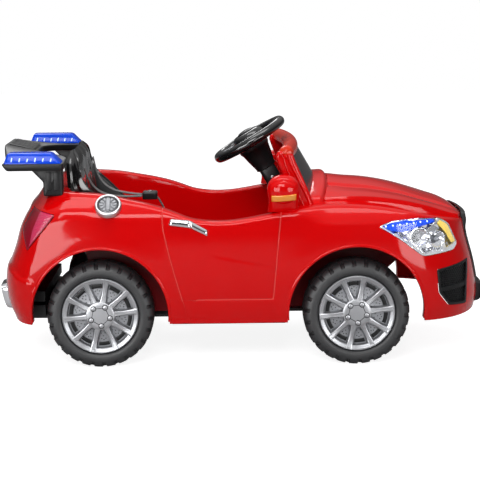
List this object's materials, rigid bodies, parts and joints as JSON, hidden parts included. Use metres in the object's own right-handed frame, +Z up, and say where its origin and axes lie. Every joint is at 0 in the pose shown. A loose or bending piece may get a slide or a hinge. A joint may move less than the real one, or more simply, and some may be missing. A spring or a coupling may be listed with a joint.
{
  "type": "electric ride on car",
  "caption": "Child's red battery ride-on car with steered front wheels, geared rear drive, bucket seat, low windshield and a blue light bar.",
  "frame": {"origin": "ground under the middle of the car", "axes": "+X forward, +Y to the driver's left, +Z up"},
  "size_m": [1.0803, 0.561, 0.5127],
  "materials": {
    "red_plastic": "gloss",
    "smoked_plastic": "gloss",
    "black_plastic": "satin",
    "black_gloss": "gloss",
    "reflector_chrome": "polished",
    "clear_lens": "clear",
    "blue_lens": "clear",
    "red_lens": "gloss",
    "amber_lens": "gloss",
    "webbing": "woven",
    "steel": "satin",
    "motor_can": "satin",
    "gear_nylon": "satin",
    "battery_case": "matte",
    "tyre_plastic": "satin",
    "silver_plastic": "satin"
  },
  "bodies": {
    "car": {"battery": "battery_case", "body_shell": "red_plastic", "bumper_intake_left": "black_plastic", "bumper_intake_right": "black_plastic", "column_cover": "black_plastic", "dashboard": "black_plastic", "door_handle_left": "reflector_chrome", "door_handle_right": "reflector_chrome", "drive_motor": "motor_can", "exhaust_tips": "reflector_chrome", "floor_pan": "black_plastic", "floor_screws": "steel", "front_axle_beam": "steel", "front_grille": "black_plastic", "fuel_cap": "reflector_chrome", "gearbox_housing": "black_plastic", "harness_buckle": "black_plastic", "harness_straps": "webbing", "headlight_bowl_left": "reflector_chrome", "headlight_bowl_right": "reflector_chrome", "headlight_lens_left": "clear_lens", "headlight_lens_right": "clear_lens", "headlight_strips": "blue_lens", "hood_panel": "red_plastic", "light_bar_frame": "black_plastic", "light_pod_lens_left": "blue_lens", "light_pod_lens_right": "blue_lens", "mirror_indicators": "amber_lens", "nose_guard": "black_plastic", "rear_axle": "steel", "rear_trim": "black_plastic", "seat": "black_gloss", "side_mirror_left": "red_plastic", "side_mirror_right": "red_plastic", "taillight_left": "red_lens", "taillight_right": "red_lens", "wheel_liners": "red_plastic", "windshield_frame": "red_plastic", "windshield_panel": "smoked_plastic"},
    "steering": {"steering_wheel": "black_gloss", "steering_shaft": "steel"},
    "horn": {"horn_button": "black_plastic"},
    "tie": {"tie_rod": "steel"},
    "left_knuckle": {"knuckle_left": "steel"},
    "right_knuckle": {"knuckle_right": "steel"},
    "front_left": {"front_wheel_left": "tyre_plastic", "front_hubcap_left": "silver_plastic"},
    "front_right": {"front_wheel_right": "tyre_plastic", "front_hubcap_right": "silver_plastic"},
    "rear_left": {"rear_wheel_left": "tyre_plastic", "rear_hubcap_left": "silver_plastic"},
    "rear_right": {"rear_wheel_right": "tyre_plastic", "rear_hubcap_right": "silver_plastic", "drive_gear": "gear_nylon"},
    "idler": {"idler_gear": "gear_nylon"},
    "motor_rotor": {"motor_pinion": "steel"},
    "pedal": {"foot_pedal": "black_plastic"},
    "lever": {"shift_lever": "black_plastic"},
    "power": {"power_button": "red_lens"}
  },
  "joints": [
    {"name": "steering_turn", "type": "hinge", "parent": "car", "child": "steering", "pos_m": [0.01438, 0, 0.461], "axis": [-0.515, 0, 0.8572], "range_deg": [-45, 45]},
    {"name": "horn_press", "type": "slide", "parent": "steering", "child": "horn", "axis": [-0.515, 0, 0.8572], "range_m": [-0.002, 0], "stiffness_N_per_m": 400},
    {"name": "tie_rod_slide", "type": "slide", "parent": "car", "child": "tie", "axis": [0, 1, 0], "range_m": [-0.016, 0.016]},
    {"name": "left_knuckle_turn", "type": "hinge", "parent": "car", "child": "left_knuckle", "pos_m": [0.235, 0.165, 0.113], "axis": [0, 0, 1], "range_deg": [-20.2, 20.2]},
    {"name": "front_left_roll", "type": "hinge", "parent": "left_knuckle", "child": "front_left", "pos_m": [0.235, 0.222, 0.113], "axis": [0, 1, 0], "continuous": true},
    {"name": "rear_left_roll", "type": "hinge", "parent": "car", "child": "rear_left", "pos_m": [-0.31, 0.222, 0.113], "axis": [0, 1, 0], "continuous": true},
    {"name": "right_knuckle_turn", "type": "hinge", "parent": "car", "child": "right_knuckle", "pos_m": [0.235, -0.165, 0.113], "axis": [0, 0, 1], "range_deg": [-20.2, 20.2]},
    {"name": "front_right_roll", "type": "hinge", "parent": "right_knuckle", "child": "front_right", "pos_m": [0.235, -0.222, 0.113], "axis": [0, 1, 0], "continuous": true},
    {"name": "rear_right_roll", "type": "hinge", "parent": "car", "child": "rear_right", "pos_m": [-0.31, -0.222, 0.113], "axis": [0, 1, 0], "continuous": true},
    {"name": "idler_turn", "type": "hinge", "parent": "car", "child": "idler", "pos_m": [-0.27378, -0.155, 0.12271], "axis": [0, 1, 0], "continuous": true},
    {"name": "motor_turn", "type": "hinge", "parent": "car", "child": "motor_rotor", "pos_m": [-0.24885, -0.145, 0.13433], "axis": [0, 1, 0], "continuous": true},
    {"name": "pedal_press", "type": "hinge", "parent": "car", "child": "pedal", "pos_m": [0.0729, -0.085, 0.106], "axis": [0, 1, 0], "range_deg": [0, 16], "stiffness_Nm_per_rad": 2},
    {"name": "lever_shift", "type": "hinge", "parent": "car", "child": "lever", "pos_m": [0.14243, 0.07, 0.30198], "axis": [0, 1, 0], "range_deg": [-12, 12]},
    {"name": "power_press", "type": "slide", "parent": "car", "child": "power", "axis": [-0.9565, 0, -0.2918], "range_m": [-0.003, 0], "stiffness_N_per_m": 300}
  ],
  "couplings": [
    {"joint": "tie_rod_slide", "follows": "steering_turn", "m_per_rad": -0.02},
    {"joint": "left_knuckle_turn", "follows": "steering_turn", "ratio": 0.44444},
    {"joint": "right_knuckle_turn", "follows": "steering_turn", "ratio": 0.44444},
    {"joint": "idler_turn", "follows": "rear_right_roll", "ratio": -4},
    {"joint": "motor_turn", "follows": "rear_right_roll", "ratio": 18}
  ]
}
